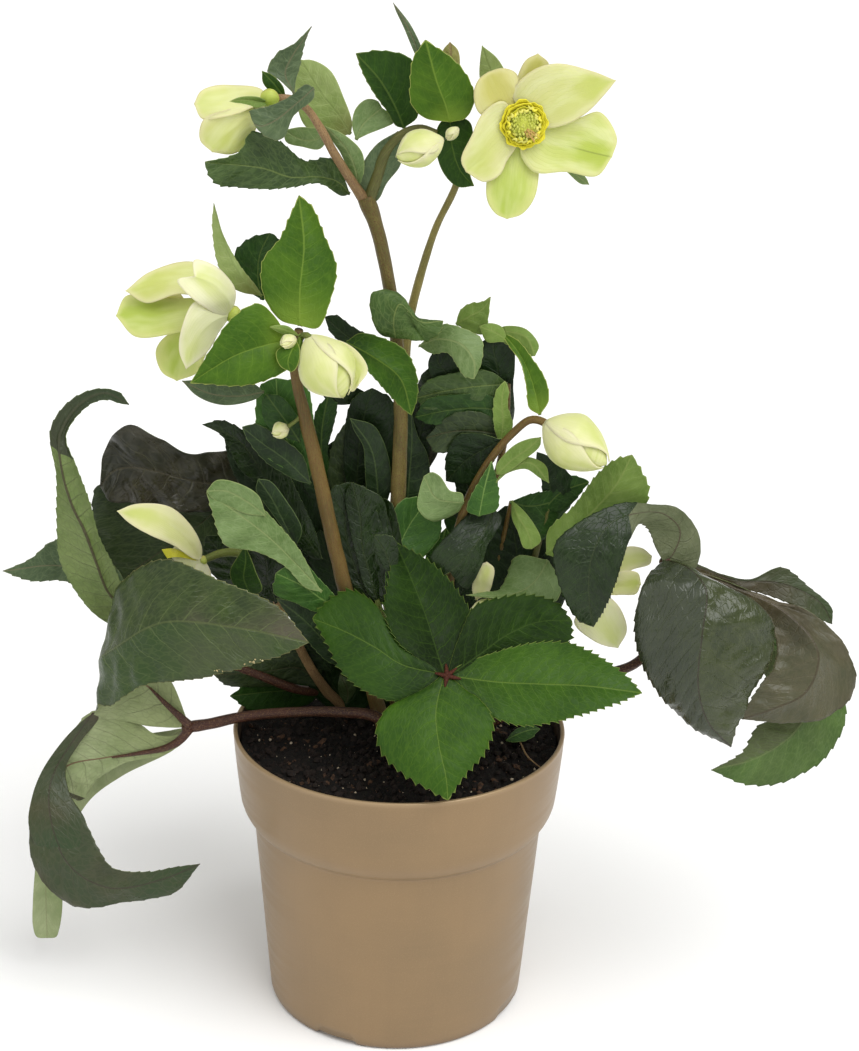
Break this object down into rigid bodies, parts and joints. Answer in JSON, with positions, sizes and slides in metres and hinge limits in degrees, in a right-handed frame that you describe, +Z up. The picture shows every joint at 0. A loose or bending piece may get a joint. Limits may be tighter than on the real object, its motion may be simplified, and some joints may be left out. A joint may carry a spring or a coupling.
{
  "type": "potted hellebore plant",
  "caption": "Flowering hellebore (Christmas rose) in a nursery pot: open and nodding pale green flowers, buds, bracts, stalks and hand-shaped evergreen leaves growing from peat soil.",
  "frame": {"origin": "centre of the pot's underside, on the surface that the pot stands on", "axes": "+Z up along the pot's axis; the plant's showing side, with the open flower and the young front leaf, faces -Y; +X is to the right as seen from that side"},
  "size_m": [0.3756, 0.2075, 0.4511],
  "materials": {
    "pot_bronze_plastic": "satin bronze",
    "peat_soil": "matte, moist peat and bark",
    "stem_olive_brown": "smooth, satin",
    "petiole_purple": "smooth, satin",
    "young_leaf_green": "smooth, slightly glossy",
    "leaf_underside_green": "matte underside with veins",
    "old_leaf_dark_green": "glossy, leathery, veined",
    "sepal_pale_green": "matte, petal-like",
    "bud_cream_green": "matte, petal-like",
    "stamen_yellow": "matte"
  },
  "bodies": {
    "root": {"bract_crumpled": "old_leaf_dark_green", "bract_dark_crumpled": "old_leaf_dark_green", "bract_folded_left": "leaf_underside_green", "bract_green_middle": "young_leaf_green", "bract_grey_ear": "old_leaf_dark_green", "bract_large_left": "young_leaf_green", "bract_large_toothed": "old_leaf_dark_green", "bract_large_upright": "young_leaf_green", "bract_light_middle": "leaf_underside_green", "bract_light_top": "leaf_underside_green", "bract_narrow_upright": "leaf_underside_green", "bract_pale_curled": "leaf_underside_green", "bract_pointed_small": "young_leaf_green", "bract_rounded_upper": "leaf_underside_green", "bract_top_left_light": "leaf_underside_green", "bract_top_left_pointed": "old_leaf_dark_green", "bract_under_left": "old_leaf_dark_green", "bract_under_right_bud": "leaf_underside_green", "bract_upper_bright": "young_leaf_green", "bract_upper_dark": "young_leaf_green", "bract_upper_narrow": "young_leaf_green", "bract_yellow_middle": "leaf_underside_green", "bud_middle": "bud_cream_green", "bud_right": "bud_cream_green", "bud_small_left": "bud_cream_green", "bud_tiny_hub": "bud_cream_green", "bud_upper": "bud_cream_green", "flower_centre": "stamen_yellow", "flower_low_left": "sepal_pale_green", "flower_middle_left": "sepal_pale_green", "flower_right": "sepal_pale_green", "flower_upper_left": "sepal_pale_green", "leaf_arching": "leaf_underside_green", "leaf_back_left": "petiole_purple", "leaf_back_right": "petiole_purple", "leaf_behind_lower_left": "old_leaf_dark_green", "leaf_dark_middle": "old_leaf_dark_green", "leaf_front": "young_leaf_green", "leaf_left": "petiole_purple", "leaf_left_brown": "petiole_purple", "leaf_light_right": "leaf_underside_green", "leaf_lower_left": "petiole_purple", "leaf_middle_left": "old_leaf_dark_green", "leaf_middle_right": "old_leaf_dark_green", "leaf_narrow_right": "young_leaf_green", "leaf_pointed_left": "old_leaf_dark_green", "leaf_right": "petiole_purple", "pot": "pot_bronze_plastic", "sepal_bottom": "sepal_pale_green", "sepal_lower_left": "sepal_pale_green", "sepal_lower_right": "sepal_pale_green", "sepal_top_small": "sepal_pale_green", "sepal_upper_left": "sepal_pale_green", "sepal_upper_right": "sepal_pale_green", "soil": "peat_soil", "stem_left": "stem_olive_brown", "stem_low": "stem_olive_brown", "stem_right": "stem_olive_brown", "stem_tall": "stem_olive_brown", "stem_thin": "stem_olive_brown"}
  },
  "joints": []
}
